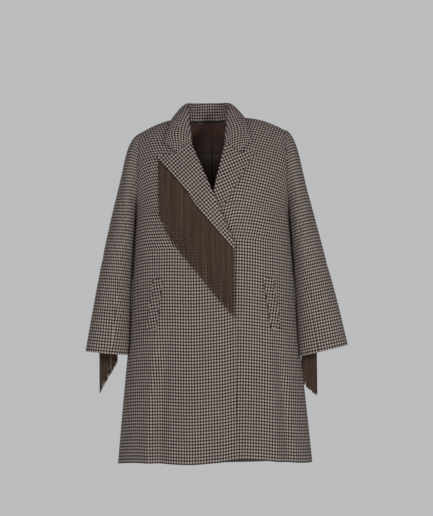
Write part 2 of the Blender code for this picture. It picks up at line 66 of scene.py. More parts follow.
def eased(rows, at, column):
    # one smooth curve through the rows of a table, its first column is the key
    last = len(rows) - 1
    if (at - rows[0][0]) * (rows[last][0] - rows[0][0]) <= 0.0:
        return rows[0][column]
    if abs(at - rows[0][0]) >= abs(rows[last][0] - rows[0][0]):
        return rows[last][column]
    low = 0
    while (at - rows[low + 1][0]) * (rows[last][0] - rows[0][0]) > 0.0:
        low += 1
    span = rows[low + 1][0] - rows[low][0]
    t = (at - rows[low][0]) / span
    rise = span * (slopeAt(rows, low, column) * t * (1 - t) ** 2
                   - slopeAt(rows, low + 1, column) * t * t * (1 - t))
    return mix(rows[low][column], rows[low + 1][column], t * t * (3 - 2 * t)) + rise


def straight(rows, at, column=1):
    # straight lines through the rows of a table
    for low, high in zip(rows, rows[1:]):
        if min(low[0], high[0]) <= at <= max(low[0], high[0]):
            return mix(low[column], high[column], (at - low[0]) / (high[0] - low[0]))
    return rows[0][column] if abs(at - rows[0][0]) < abs(at - rows[-1][0]) else rows[-1][column]


def bell(distance, width):
    return exp(-(distance / width) ** 2)


# the coat's form is the solids' with deeper folds, creases and a fuller shoulder line
coat = {
    "hemZ": -0.933,
    "backHemDrop": 0.022,
    "hemCurve": 1.6,
    "hemWave": (
        # place round the front, how far the hem rises
        (-1.0, 0.0), (-0.6, 0.005), (-0.35, 0.0035), (-0.12, 0.0), (0.02, 0.005),
        (0.12, 0.012), (0.24, 0.0105), (0.45, 0.004), (0.7, 0.0), (1.0, 0.0),
    ),
    "underarmZ": -0.258,
    "chestTopZ": -0.22,
    "rise": 0.3,  # height of one unit of h below the chest's top
    "shoulderX": 0.2,
    "shoulderTipZ": -0.04,
    "neckSideX": 0.078,
    "neckSideZ": 0.006,
    "neckX": -0.01,
    "napeH": 0.7,
    "shoulderSlope": 0.377,
    "shoulderLean": 0.017,
    "ridge": 0.035,
    "shoulderCrown": (
        # x, how far the cloth stands above the straight line of the shoulder
        (-0.23, 0.0), (-0.2, 0.003), (-0.16, 0.008), (-0.12, 0.007), (-0.088, 0.0),
        (0.068, 0.0), (0.1, 0.009), (0.14, 0.015), (0.18, 0.013), (0.2, 0.01),
        (0.23, 0.006),
    ),
    "power": 2.3,  # of the superellipse sections
    "rounding": {front: 1.7, back: 2.4},
    "sections": (
        # z, half width, front depth, back depth
        (-0.96, 0.2665, 0.157, 0.152), (-0.82, 0.2535, 0.151, 0.146), (-0.69, 0.2405, 0.146, 0.14),
        (-0.59, 0.2305, 0.142, 0.135), (-0.43, 0.2195, 0.138, 0.129), (-0.29, 0.2108, 0.135, 0.124),
        (-0.258, 0.2095, 0.134, 0.122), (-0.2, 0.217, 0.132, 0.12), (-0.13, 0.223, 0.128, 0.117),
        (-0.04, 0.224, 0.124, 0.115), (0.04, 0.224, 0.124, 0.115),
    ),
    "folds": (
        # side, place round the body, width, height, starts at z, full at z
        (front, -0.455, 0.048, 0.011, -0.5, -0.8), (front, -0.345, 0.056, -0.016, -0.5, -0.78),
        (front, -0.16, 0.09, 0.004, -0.6, -0.9), (front, 0.4, 0.056, 0.009, -0.52, -0.8),
        (front, 0.5, 0.052, -0.014, -0.52, -0.8), (back, -0.52, 0.1, 0.009, -0.45, -0.85),
        (back, -0.27, 0.09, -0.008, -0.42, -0.85), (back, 0.01, 0.11, 0.01, -0.38, -0.85),
        (back, 0.28, 0.09, -0.008, -0.42, -0.85), (back, 0.52, 0.1, 0.009, -0.45, -0.85),
    ),
    "foldFade": 0.2,  # folds die away over this share of a half, at the side seam
    "creases": (
        # side, x and z of the middle, slant from upright in degrees, length, width, depth
        (front, -0.172, -0.275, -32, 0.075, 0.01, -0.0026),
        (front, -0.16, -0.325, -38, 0.06, 0.011, -0.0018),
        (front, -0.185, -0.18, 8, 0.055, 0.012, -0.002),
        (front, -0.12, -0.64, 4, 0.15, 0.016, -0.0022),
        (front, -0.205, -0.52, 5, 0.13, 0.013, -0.002),
        (front, -0.07, -0.8, 3, 0.11, 0.018, 0.0018),
        (front, 0.02, -0.7, -2, 0.17, 0.02, -0.0014),
        (front, 0.095, -0.76, -3, 0.13, 0.016, 0.002),
        (front, 0.12, -0.56, -5, 0.11, 0.015, -0.0018),
        (front, 0.176, -0.28, 34, 0.07, 0.01, -0.0026),
        (front, 0.158, -0.335, 40, 0.055, 0.012, -0.0017),
        (front, 0.186, -0.175, -7, 0.06, 0.011, -0.0022),
        (front, 0.202, -0.48, -4, 0.12, 0.014, -0.0018),
        (front, -0.15, -0.435, -14, 0.045, 0.012, -0.0012),
        (front, 0.158, -0.425, 12, 0.045, 0.012, -0.0013),
        (back, -0.168, -0.27, 30, 0.08, 0.011, -0.0028),
        (back, 0.17, -0.285, -33, 0.075, 0.011, -0.0027),
        (back, -0.11, -0.17, 12, 0.07, 0.016, -0.0018),
        (back, 0.118, -0.185, -10, 0.06, 0.015, -0.0019),
        (back, -0.06, -0.52, 2, 0.18, 0.018, -0.002),
        (back, 0.05, -0.64, -3, 0.15, 0.017, 0.0018),
        (back, 0.15, -0.56, -5, 0.14, 0.015, -0.0021),
        (back, -0.17, -0.64, 5, 0.16, 0.015, -0.002),
        (back, 0.01, -0.33, 86, 0.08, 0.012, -0.0014),
        (back, -0.02, -0.395, 95, 0.065, 0.011, -0.0011),
    ),
    "creaseBow": 0.18,  # how much a crease curves
    "creaseReach": 0.6,  # share of its length over which it dies away
    "probe": 0.012,  # step round and up the body from which its normal is taken
    "seamSink": 0.0011,  # how deep a seam draws the cloth in, and how far from it
    "seamWidth": 0.0042,
}
coat["underarmH"] = (coat["underarmZ"] - coat["chestTopZ"]) / coat["rise"]

# z and x of the front edges: the hem, the break, the roll line's top, the neck
frontEdge = {
    right: ((-0.933, 0.0586), (-0.3624, 0.0586), (-0.0713, -0.0591), (0.006, -0.088)),
    left: ((-0.933, -0.039), (-0.3399, -0.0254), (-0.0713, 0.0396), (0.006, 0.068)),
}


def shoulderZ(x):
    ridge = coat["ridge"] ** 2
    fromNeck = ((x - coat["neckX"]) ** 2 + ridge) ** 0.5 - (coat["neckSideX"] ** 2 + ridge) ** 0.5
    crown = eased(coat["shoulderCrown"], x, 1)
    return coat["neckSideZ"] - coat["shoulderSlope"] * fromNeck + coat["shoulderLean"] * x + crown


# a place on the body: q runs round each half from -1 to 1, h from the hem through 0 at the
# chest's top to 1 at the shoulder
def heightAt(h, x, side):
    top = coat["chestTopZ"]
    if h <= 0.0:
        return top + h * coat["rise"]
    climb = sin(h * pi / 2) ** (2 / coat["rounding"][side])
    return top + (shoulderZ(x) - top) * climb


def heightCoordinate(x, z, side):
    top = coat["chestTopZ"]
    if z <= top:
        return (z - top) / coat["rise"]
    climb = min((z - top) / (shoulderZ(x) - top), 1.0)
    return asin(climb ** (coat["rounding"][side] / 2)) * 2 / pi


def roundCoordinate(x, z):
    share = min(abs(x) / eased(coat["sections"], z, 1), 1.0)
    q = asin(share ** (coat["power"] / 2)) * 2 / pi
    return q if x >= 0.0 else -q


def foldAt(q, z, side):
    depth = 0.0
    for foldSide, place, width, size, start, full in coat["folds"]:
        if foldSide == side:
            depth += size * smoothStep((start - z) / (start - full)) * bell(q - place, width)
    return depth * smoothStep((1.0 - abs(q)) / coat["foldFade"])


def creaseAt(x, z, side):
    depth = 0.0
    for creaseSide, middleX, middleZ, slant, length, width, size in coat["creases"]:
        if creaseSide != side:
            continue
        dx, dz = x - middleX, z - middleZ
        turn = radians(slant)
        along = dx * sin(turn) + dz * cos(turn)
        bow = coat["creaseBow"] * along * along / length
        across = dx * cos(turn) - dz * sin(turn) + bow
        depth += size * bell(along, length * coat["creaseReach"]) * bell(across, width)
    return depth


def surface(q, h, side):
    across = sin(abs(q) * pi / 2) ** (2 / coat["power"])
    across = across if q >= 0.0 else -across
    x = across * eased(coat["sections"], heightAt(h, across * coat["shoulderX"], side), 1)
    z = heightAt(h, x, side)
    depth = eased(coat["sections"], z, 2 if side == front else 3)
    inward = cos(abs(q) * pi / 2) ** (2 / coat["power"])
    if h > 0.0:
        inward *= max(cos(h * pi / 2), 0.0) ** (2 / coat["rounding"][side])
    return Vector((x, side * (depth + foldAt(q, z, side)) * inward, z))


def body(q, h, side, out=0.0):
    # a point of the coat's surface, moved out along its normal
    point = surface(q, h, side)
    if out == 0.0:
        return point
    step = coat["probe"]
    roundIt = surface(min(q + step, 1.0), h, side) - surface(max(q - step, -1.0), h, side)
    upIt = surface(q, min(h + step, 1.0), side) - surface(q, h - step, side)
    return point + roundIt.cross(upIt).normalized() * (-side * out)


def onFront(x, z, out=0.0):
    return body(roundCoordinate(x, z), heightCoordinate(x, z, front), front, out)


def atHeight(x, h, side, out=0.0):
    return body(roundCoordinate(x, heightAt(h, x, side)), h, side, out)


def overShoulder(x, over, out):
    return atHeight(x, 1.0 - abs(over), back if over < 0.0 else front, out)


def neckH(x):
    share = min(abs(x - coat["neckX"]) / coat["neckSideX"], 1.0)
    return 1.0 - (1.0 - coat["napeH"]) * (1.0 - share ** 2) ** 0.5


def armholeQ(s):
    shoulderQ = roundCoordinate(coat["shoulderX"], coat["shoulderTipZ"])
    return 1.0 - (1.0 - shoulderQ) * (1.0 - (1.0 - s) ** 3) ** 0.5


def hemH(q, side):
    toBack = (1.0 + side * (1.0 - abs(q))) / 2
    wave = eased(coat["hemWave"], q, 1) if side == front else 0.0
    z = coat["hemZ"] + wave - coat["backHemDrop"] * toBack ** coat["hemCurve"]
    return (z - coat["chestTopZ"]) / coat["rise"]


def seamSink(*distances):
    # cloth is drawn in where it is sewn; each distance is in metres from one seam
    return -coat["seamSink"] * max(bell(distance, coat["seamWidth"]) for distance in distances)


def feed(tree, socket, value):
    if isinstance(value, bpy.types.NodeSocket):
        tree.links.new(value, socket)
    elif value is not None:
        socket.default_value = value


def calc(tree, operation, first, second=None, third=None):
    node = tree.nodes.new("ShaderNodeMath")
    node.operation = operation
    for socket, value in zip(node.inputs, (first, second, third)):
        feed(tree, socket, value)
    return node.outputs[0]


def blendColour(tree, factor, first, second, blend="MIX"):
    node = tree.nodes.new("ShaderNodeMix")
    node.data_type = "RGBA"
    node.blend_type = blend
    for socket, value in ((0, factor), (6, first), (7, second)):  # 6 and 7 are its colours
        feed(tree, node.inputs[socket], value)
    return node.outputs[2]


def noiseOf(tree, place, scale, detail, roughness, stretch=None):
    if stretch:
        mapping = tree.nodes.new("ShaderNodeMapping")
        mapping.inputs["Scale"].default_value = stretch
        tree.links.new(place, mapping.inputs["Vector"])
        place = mapping.outputs[0]
    node = tree.nodes.new("ShaderNodeTexNoise")
    node.inputs["Scale"].default_value = scale
    node.inputs["Detail"].default_value = detail
    node.inputs["Roughness"].default_value = roughness
    tree.links.new(place, node.inputs["Vector"])
    return node.outputs["Fac"]


def swayed(tree, noise, amount, middle):
    # a value that a noise moves to either side of its middle
    return calc(tree, "MULTIPLY_ADD", calc(tree, "SUBTRACT", noise, 0.5), amount, middle)


def newGroup(name, inputs, outputs):
    tree = bpy.data.node_groups.new(name, "ShaderNodeTree")
    for label, kind in inputs:
        tree.interface.new_socket(name=label, in_out="INPUT", socket_type="NodeSocket" + kind)
    for label, kind in outputs:
        tree.interface.new_socket(name=label, in_out="OUTPUT", socket_type="NodeSocket" + kind)
    return tree, tree.nodes.new("NodeGroupInput").outputs, tree.nodes.new("NodeGroupOutput").inputs


def useGroup(tree, group, **values):
    node = tree.nodes.new("ShaderNodeGroup")
    node.node_tree = group
    for label, value in values.items():
        feed(tree, node.inputs[label], value)
    return node.outputs


houndstooth = {
    "threadsOfAColour": 4,
    "checkWidth": 0.0074,  # a band of dark threads and a band of light ones
    "checkHeight": 0.0085,
    "firstThread": 8000.0,  # keeps the thread counts above zero
    "twillRepeat": 4.0,
    "twillOver": 1.5,  # the warp is on top in the steps of a repeat below this
    "dark": (0.009, 0.0052, 0.004, 1.0),
    "light": (0.6, 0.502, 0.452, 1.0),
    "amongDarkFuzzAndShade": 0.6,  # how light a light thread looks where it crosses dark ones: partly their dark fuzz over it, partly painted shade from the dark threads standing up beside it
    "threadHeight": 0.00025,
    "threadBump": 0.8,
    # scale, detail and roughness of the fibres, the uneven yarn and the broad shading
    "fibres": (900.0, 3.0, 0.65),
    "yarn": (190.0, 2.0, 0.7),
    "broad": (9.0, 2.0, 0.5),
    "yarnShade": 0.9,
    "broadShade": 0.16,
    "fuzzHeight": 0.0003,
    "fuzzBump": 0.7,
    "shader": {"Roughness": 0.92, "Specular IOR Level": 0.12, "Sheen Weight": 0.06,
               "Sheen Tint": (0.9, 0.84, 0.78, 1.0)},
}


def weaveGroup():
    # a two-up, two-down twill: how light the thread on top is, and how high it stands
    tree, given, made = newGroup("houndstooth weave", [("Place", "Vector")],
                                 [("Light", "Float"), ("Height", "Float")])
    split = tree.nodes.new("ShaderNodeSeparateXYZ")
    tree.links.new(given["Place"], split.inputs[0])
    ofAColour = float(houndstooth["threadsOfAColour"])
    counts, colours, profiles = [], [], []
    for axis, check in enumerate((houndstooth["checkWidth"], houndstooth["checkHeight"])):
        place = calc(tree, "MULTIPLY_ADD", split.outputs[axis], 2 * ofAColour / check,
                     houndstooth["firstThread"])
        count = calc(tree, "FLOOR", place)
        band = calc(tree, "FLOOR", calc(tree, "DIVIDE", count, ofAColour))
        counts.append(count)
        colours.append(calc(tree, "MODULO", band, 2.0))
        profiles.append(calc(tree, "SINE", calc(tree, "MULTIPLY", calc(tree, "FRACT", place), pi)))
    step = calc(tree, "MODULO", calc(tree, "ADD", *counts), houndstooth["twillRepeat"])
    warpOnTop = calc(tree, "LESS_THAN", step, houndstooth["twillOver"])
    weftOnTop = calc(tree, "SUBTRACT", 1.0, warpOnTop)
    tops = []
    for warp, weft in (colours, profiles):
        top = calc(tree, "MULTIPLY", warp, warpOnTop)
        tops.append(calc(tree, "MULTIPLY_ADD", weft, weftOnTop, top))
    # a light thread that crosses dark ones is darkened: partly by their dark fuzz, partly by
    # painted shade between the threads
    fuzzAndShade = houndstooth["amongDarkFuzzAndShade"]
    fuzzAndShade = calc(tree, "MULTIPLY_ADD", calc(tree, "MULTIPLY", *colours), 1.0 - fuzzAndShade, fuzzAndShade)
    tree.links.new(calc(tree, "MULTIPLY", tops[0], fuzzAndShade), made["Light"])
    tree.links.new(tops[1], made["Height"])
    return tree


def woolGroup():
    # uneven yarn and the loose fibres on it
    tree, given, made = newGroup("wool", [("Place", "Vector")],
                                 [("Shade", "Float"), ("Fuzz", "Float")])
    yarn = noiseOf(tree, given["Place"], *houndstooth["yarn"])
    broad = noiseOf(tree, given["Place"], *houndstooth["broad"])
    shade = swayed(tree, yarn, houndstooth["yarnShade"], 1.0)
    tree.links.new(swayed(tree, broad, houndstooth["broadShade"], shade), made["Shade"])
    tree.links.new(noiseOf(tree, given["Place"], *houndstooth["fibres"]), made["Fuzz"])
    return tree


weave, wool = weaveGroup(), woolGroup()


def newMaterial(name, values):
    material = bpy.data.materials.new(name)
    material.use_nodes = True
    tree = material.node_tree
    shader = tree.nodes["Principled BSDF"].inputs
    for label, value in values.items():
        shader[label].default_value = value
    return material, tree, shader


def boltPlace(tree):
    node = tree.nodes.new("ShaderNodeUVMap")
    node.uv_map = "cloth"
    return node.outputs[0]


def bump(tree, height, distance, strength, below=None):
    node = tree.nodes.new("ShaderNodeBump")
    node.inputs["Strength"].default_value = strength
    node.inputs["Distance"].default_value = distance
    feed(tree, node.inputs["Height"], height)
    feed(tree, node.inputs["Normal"], below)
    return node.outputs[0]


def clothMaterial(name):
    material, tree, shader = newMaterial(name, houndstooth["shader"])
    place = boltPlace(tree)
    woven = useGroup(tree, weave, Place=place)
    yarn = useGroup(tree, wool, Place=place)
    colour = blendColour(tree, woven["Light"], houndstooth["dark"], houndstooth["light"])
    feed(tree, shader["Base Color"], blendColour(tree, 1.0, colour, yarn["Shade"], "MULTIPLY"))
    threads = bump(tree, woven["Height"], houndstooth["threadHeight"], houndstooth["threadBump"])
    fuzz = bump(tree, yarn["Fuzz"], houndstooth["fuzzHeight"], houndstooth["fuzzBump"], threads)
    feed(tree, shader["Normal"], fuzz)
    return material


satin = {
    "colour": (0.145, 0.079, 0.065, 1.0),
    "soft": (1.6, 1.5, 0.4),  # scale, detail and roughness
    "softStretch": (9.0, 3.5, 1.0),
    "rib": (1.0, 1.0, 0.5),
    "ribStretch": (1500.0, 260.0, 1.0),
    "ribShade": 0.3,
    "ripple": 0.0035,
    "rippleBump": 0.8,
    "shader": {"Roughness": 0.4, "Specular IOR Level": 0.35},
}


def satinMaterial(name):
    material, tree, shader = newMaterial(name, satin["shader"])
    place = boltPlace(tree)
    soft = noiseOf(tree, place, *satin["soft"], satin["softStretch"])
    rib = noiseOf(tree, place, *satin["rib"], satin["ribStretch"])
    shade = swayed(tree, rib, satin["ribShade"], 1.0)
    feed(tree, shader["Base Color"], blendColour(tree, 1.0, satin["colour"], shade, "MULTIPLY"))
    feed(tree, shader["Normal"], bump(tree, soft, satin["ripple"], satin["rippleBump"]))
    return material


chenille = {
    "colour": (0.138, 0.084, 0.058, 1.0),
    # the strands' deepest tone, which the lock-wide streaks also use as painted shadow between the
    # locks
    "deep": (0.021, 0.012, 0.0085, 1.0),
    "noise": (1.0, 2.0, 0.6),  # scale, detail and roughness, for all three stretches
    "strandStretch": (420.0, 2.5, 1.0),
    # streaks about a lock wide: painted shadow between the locks and painted light on them
    "lockShadowStretch": (150.0, 6.0, 1.0),
    "pileStretch": (1400.0, 700.0, 1.0),
    "middleShade": 0.6,
    "strandShade": 1.6,
    "lockShadowStrength": 1.4,
    "pileHeight": 0.0004,
    "pileBump": 0.6,
    "shader": {"Roughness": 0.85, "Specular IOR Level": 0.2, "Sheen Weight": 0.35,
               "Sheen Tint": (0.75, 0.58, 0.48, 1.0)},
}


def chenilleMaterial(name):
    material, tree, shader = newMaterial(name, chenille["shader"])
    place = boltPlace(tree)
    strand, lockShadow, pile = (noiseOf(tree, place, *chenille["noise"], chenille[stretch])
                            for stretch in ("strandStretch", "lockShadowStretch", "pileStretch"))
    depth = swayed(tree, strand, chenille["strandShade"], chenille["middleShade"])
    # over the strands' own uneven tone, painted shadow streaks between the locks and painted light
    # on them
    depth = swayed(tree, lockShadow, chenille["lockShadowStrength"], depth)
    depth = calc(tree, "MINIMUM", calc(tree, "MAXIMUM", depth, 0.0), 1.0)
    feed(tree, shader["Base Color"], blendColour(tree, depth, chenille["deep"], chenille["colour"]))
    feed(tree, shader["Normal"], bump(tree, pile, chenille["pileHeight"], chenille["pileBump"]))
    return material


print("materials ready")


def arcLengths(points):
    lengths = [0.0]
    for before, after in zip(points, points[1:]):
        lengths.append(lengths[-1] + (after - before).length)
    return lengths


def setLayout(bm, spot):
    layer = bm.loops.layers.uv.new("cloth")
    for face in bm.faces:
        for loop in face.loops:
            loop[layer].uv = spot[loop.vert]


def layOut(bm, table, anchor, start, turn, flatFrom):
    # the piece's place on the bolt of cloth, in metres: along rows and columns from the anchor's
    # row and column, or for a flat piece as it lies beyond that many columns, then turned
    rows, columns = len(table), len(table[0])
    alongRows = [arcLengths([vert.co for vert in row]) for row in table]
    upColumns = [arcLengths([row[column].co for row in table]) for column in range(columns)]
    turnSin, turnCos = sin(radians(turn)), cos(radians(turn))
    spot = {}
    for row in range(rows):
        run = alongRows[row]
        for column in range(columns):
            u = run[column] - run[anchor[1]] + start[0]
            v = upColumns[column][row] - upColumns[column][anchor[0]] + start[1]
            if flatFrom is not None:
                near = table[row][max(column, flatFrom)].co
                rolled = near - table[row][flatFrom + 1].co if column < flatFrom else Vector()
                rolled = rolled.normalized() * (run[max(column, flatFrom)] - run[column])
                u, v = near.x + rolled.x, near.z + rolled.z
            spot[table[row][column]] = (u * turnCos - v * turnSin, u * turnSin + v * turnCos)
    setLayout(bm, spot)


def newObject(name, bm, material):
    mesh = bpy.data.meshes.new(name)
    bm.to_mesh(mesh)
    bm.free()
    mesh.materials.append(material)
    made = bpy.data.objects.new(name, mesh)
    bpy.context.scene.collection.objects.link(made)
    return made


def clothPiece(name, kind, place, outside, lined=None, turn=0.0, material=None):
    # a grid placed by place(u, v), its faces turned the way that outside(point) looks; a modifier
    # gives it its wall
    columns, rows = kind["grid"]
    across, up = kind.get("anchor", (0.0, 0.0))
    anchor = round(up * rows), round(across * columns)
    bm = bmesh.new()
    bmesh.ops.create_grid(bm, x_segments=columns, y_segments=rows, size=0.5)
    table = [[None] * (columns + 1) for _ in range(rows + 1)]
    for vert in bm.verts:
        u, v = vert.co.x + 0.5, vert.co.y + 0.5
        table[round(v * rows)][round(u * columns)] = vert
        vert.co = place(u, v)
    layOut(bm, table, anchor, kind.get("start", (0.0, 0.0)), turn, kind.get("flatFrom"))
    bmesh.ops.recalc_face_normals(bm, faces=bm.faces)
    facing = sum(face.normal.dot(outside(face.calc_center_median())) for face in bm.faces)
    if facing < 0.0:
        bmesh.ops.reverse_faces(bm, faces=bm.faces)
    piece = newObject(name, bm, material or clothMaterial(name + " cloth"))
    piece.data.shade_smooth()
    thicken = piece.modifiers.new("wall", "SOLIDIFY")
    thicken.thickness = kind["wall"]
    thicken.offset = 0.0
    if lined:
        piece.data.materials.append(lined)
        thicken.material_offset = 1
    if kind["rounding"]:
        soften = piece.modifiers.new("soft edge", "BEVEL")
        soften.width = kind["rounding"]
        soften.segments = 2
        soften.limit_method = "ANGLE"
        soften.angle_limit = radians(60)
        soften.profile = 0.5
    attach(piece, "root")
    return piece


def fromAxis(point):
    return Vector((point.x, point.y, 0.0))


def toFront(_):
    return Vector((0.0, -1.0, 0.0))


innerSatin = satinMaterial("inner lining")


backPanel = {
    "grid": (130, 132),  # columns and rows
    "wall": 0.0025,
    "rounding": 0.0006,
    "anchor": (0.5, 0.0),  # across and up the grid, from where the cut is laid out
    "start": (0.003, 0.0),  # and the anchor's place on the cloth's checks
    "underarmRow": 0.62,
    "seamReach": 0.3,  # metres to a seam, across and up, for how it draws the cloth in
}


def rowHeights(v, underarmRow):
    if v <= underarmRow:
        return v / underarmRow, 0.0
    return 1.0, (v - underarmRow) / (1.0 - underarmRow)


def backPoint(u, v):
    across = 2.0 * u - 1.0
    low, s = rowHeights(v, backPanel["underarmRow"])
    q = across * armholeQ(s)
    top = 1.0
    if s > 0.0:
        topX = surface(across * armholeQ(1.0), 1.0, back).x
        if abs(topX - coat["neckX"]) < coat["neckSideX"]:
            top = neckH(topX)
    h = mix(hemH(q, back), coat["underarmH"], low) if s == 0.0 else mix(coat["underarmH"], top, s)
    point = surface(q, h, back)
    reach = backPanel["seamReach"]
    sink = seamSink((1.0 - abs(across)) * reach, (1.0 - v) * reach)
    return body(q, h, back, sink + creaseAt(point.x, point.z, back))


backCloth = clothPiece("backPanel", backPanel, backPoint, fromAxis, innerSatin)
print("back made")


fronts = {
    "grid": (84, 132),
    "wall": 0.0025,
    "rounding": 0.0006,
    "start": (0.0015, 0.0),
    "underarmRow": 0.62,
    "seamReach": (0.26, 0.3),
    "overlapReach": 0.055,  # the top front starts to lift this far outside the edge below it
    "overlapRise": 0.045,
    "overLapel": 0.0088,  # how far it stands out where the left lapel lies below it
    "overFront": 0.0046,
    "lapelEndZ": -0.345,
    "lapelFade": 0.08,
}


def edgeX(side, h):
    x = 0.0
    for _ in range(4):  # the edge's height depends on its place, a few rounds settle it
        x = straight(frontEdge[side], heightAt(h, x, front))
    return x


def overlap(x, z):
    under = straight(frontEdge[left], z)
    lifted = smoothStep((x - under + fronts["overlapReach"]) / fronts["overlapRise"])
    below = smoothStep((fronts["lapelEndZ"] - z) / fronts["lapelFade"])
    return lifted * mix(fronts["overLapel"], fronts["overFront"], below)


def frontPoint(side, u, v):
    low, s = rowHeights(v, fronts["underarmRow"])
    h = mix(mix(hemH(0.0, front), coat["underarmH"], low), 1.0, s)
    x = edgeX(side, h)
    q = mix(roundCoordinate(x, heightAt(h, x, front)), towards[side] * armholeQ(s), u)
    if s == 0.0:
        h = mix(hemH(q, front), coat["underarmH"], low)
    point = surface(q, h, front)
    reachAcross, reachUp = fronts["seamReach"]
    out = seamSink((1.0 - u) * reachAcross, (1.0 - v) * reachUp) + creaseAt(point.x, point.z, front)
    if side == right:
        out += overlap(point.x, point.z)
    return body(q, h, front, out)


frontCloth = {side: clothPiece(side + "Front", fronts, lambda u, v, s=side: frontPoint(s, u, v),
                               fromAxis, innerSatin) for side in (right, left)}
print("fronts made")


lapels = {
    "grid": (46, 84),
    "wall": 0.0036,
    "rounding": 0.0012,
    "flatFrom": 5,  # columns that roll over, the others lie flat on the bolt
    "rest": 0.00385,  # middle of the lapel over the front's middle
    "fringeRoom": 0.0024,  # more under the lapel that carries the fringe
    "rollShare": 0.1,
    "rollWidth": 0.003,
    "breakGap": 0.004,
    "notch": (0.0826, -0.1006),
    "gorgeGap": 0.0018,
    "gorgeFade": 4,
    "crown": 0.0016,  # how far the middle of a lapel stands up
    "edgeLift": {right: 0.0014, left: 0.0042},
    "liftFrom": 0.55,
    "fullWidth": 0.08,  # narrower than this, a lapel stands up less
    "turn": {right: -40.0, left: -24.0},
    "outer": {
        right: ((-0.1083, -0.1504), (-0.1825, -0.0839), (-0.273, -0.0206), (-0.338, 0.0361),
                (-0.3585, 0.0513)),
        left: ((-0.0907, 0.1194), (-0.1519, 0.0838), (-0.203, 0.0553), (-0.2441, 0.0305),
               (-0.3302, -0.0176)),
    },
}


def lapelPoint(side, u, v):
    outer, edge = lapels["outer"][side], frontEdge[side]
    topRoll, breakZ = edge[2][0], edge[1][0]
    rollZ = mix(topRoll, breakZ + lapels["breakGap"], v)
    rollX = straight(edge, rollZ)
    outerZ = mix(outer[0][0], outer[-1][0], v)
    outerX = eased(outer, outerZ, 1)
    on = max(u - lapels["rollShare"], 0.0) / (1.0 - lapels["rollShare"])
    x, z = mix(rollX, outerX, on), mix(rollZ, outerZ, on)
    notchX = coat["neckX"] + towards[side] * lapels["notch"][0]
    notchU = (notchX - edge[2][1]) / (outer[0][1] - edge[2][1])
    dip = lapels["notch"][1] - mix(topRoll, outer[0][0], notchU)
    tent = min(on / notchU, (1.0 - on) / (1.0 - notchU))
    z += (dip * tent - lapels["gorgeGap"]) * (1.0 - v) ** lapels["gorgeFade"]
    low = overlap(x, z) if side == right else 0.0
    rest = lapels["rest"] + (lapels["fringeRoom"] if side == right else 0.0)
    if u < lapels["rollShare"]:  # the cloth turns back on itself along the roll line
        turn = u / lapels["rollShare"] * pi
        away = Vector((outerX - rollX, outerZ - rollZ)).normalized()
        away *= lapels["rollWidth"] * sin(turn)
        return onFront(x - away.x, z - away.y, low + rest * (1.0 - cos(turn)) / 2)
    width = ((outerX - rollX) ** 2 + (outerZ - rollZ) ** 2) ** 0.5
    lift = lapels["crown"] * sin(pi * min(on, 1.0))
    beyond = smoothStep((on - lapels["liftFrom"]) / (1.0 - lapels["liftFrom"]))
    lift += lapels["edgeLift"][side] * beyond
    return onFront(x, z, low + rest + lift * min(width / lapels["fullWidth"], 1.0))


lapelCloth = {side: clothPiece(side + "Lapel", lapels, lambda u, v, s=side: lapelPoint(s, u, v),
                               toFront, turn=lapels["turn"][side]) for side in (right, left)}
print("lapels made")


collar = {
    "grid": (200, 64),
    "wall": 0.0036,
    "rounding": 0.0012,
    "anchor": (0.5, 0.0),
    "start": (0.003, 0.0),
    "napeShare": 0.45,  # of each half of the neck seam, the part on the back
    "stations": (
        # t, fold x, fold y, fold z, edge x, edge over the shoulder, foot turned inside in degrees
        (0.0, 0.0, 0.08, 0.056, 0.0, -0.45, 0.0),
        (0.2, 0.033, 0.069, 0.055, 0.052, -0.4, 0.0),
        (0.38, 0.053, 0.038, 0.052, 0.083, -0.22, 0.0),
        (0.5, 0.057, 0.006, 0.045, 0.095, 0.0, 10.0),
        (0.66, 0.056, -0.033, 0.02, 0.101, 0.2, 35.0),
        (0.83, 0.053, -0.062, -0.026, 0.108, 0.365, 65.0),
        (1.0, 0.048, -0.0905, -0.07, 0.1148, 0.495, 90.0),
    ),
    "fallOut": 0.0052,
    "seamGap": (0.0022, 0.0046),  # of the foot from the neck seam, upright and turned inside
    "foldProbe": 0.03,
    "foldSpread": 0.0145,
    "standBow": 0.004,
    "foldRounding": 0.012,
    "notchFrom": 0.8,
    "notchAcross": 0.75,
    "restFrom": 0.55,  # beyond this the fall rests on the body
    "restBelow": 0.006,  # where it is this far below the shoulder line
    "edgeLift": 0.0045,  # the leaves' lower edges stand a little away from the shoulders
}


def neckEdge(t, side):
    nape = collar["napeShare"]
    if t <= nape:
        x = coat["neckX"] + towards[side] * coat["neckSideX"] * sin(t / nape * pi / 2)
        return atHeight(x, neckH(x), back)
    rows = frontEdge[side]
    z = mix(rows[3][0], rows[2][0], (t - nape) / (1.0 - nape))
    return onFront(straight(rows, z), min(z, rows[3][0] - 0.0005))


def collarFold(t, way):
    rows = collar["stations"]
    return Vector((coat["neckX"] + way * eased(rows, t, 1), eased(rows, t, 2), eased(rows, t, 3)))


def leafEnd(across, foot, fold, edge, way):
    # the leaf's end runs from the foot to the fold, the notch and its tip
    notch = Vector((coat["neckX"] + way * lapels["notch"][0], 0.0, lapels["notch"][1]))
    bowed = (foot + fold) / 2 - Vector((way * collar["standBow"], 0.0, 0.0))
    corners = ((0.0, foot), (0.25, bowed), (0.5, fold), (collar["notchAcross"], notch), (1.0, edge))
    end = Vector()
    for near in (across - collar["foldRounding"], across, across + collar["foldRounding"]):
        near = min(max(near, 0.0), 1.0)
        for (low, start), (high, stop) in zip(corners, corners[1:]):
            if low <= near <= high:
                place = mix(start, stop, (near - low) / (high - low))
                break
        end += (onFront(place.x, place.z, collar["fallOut"]) if near > 0.5 else place) / 3.0
    return end


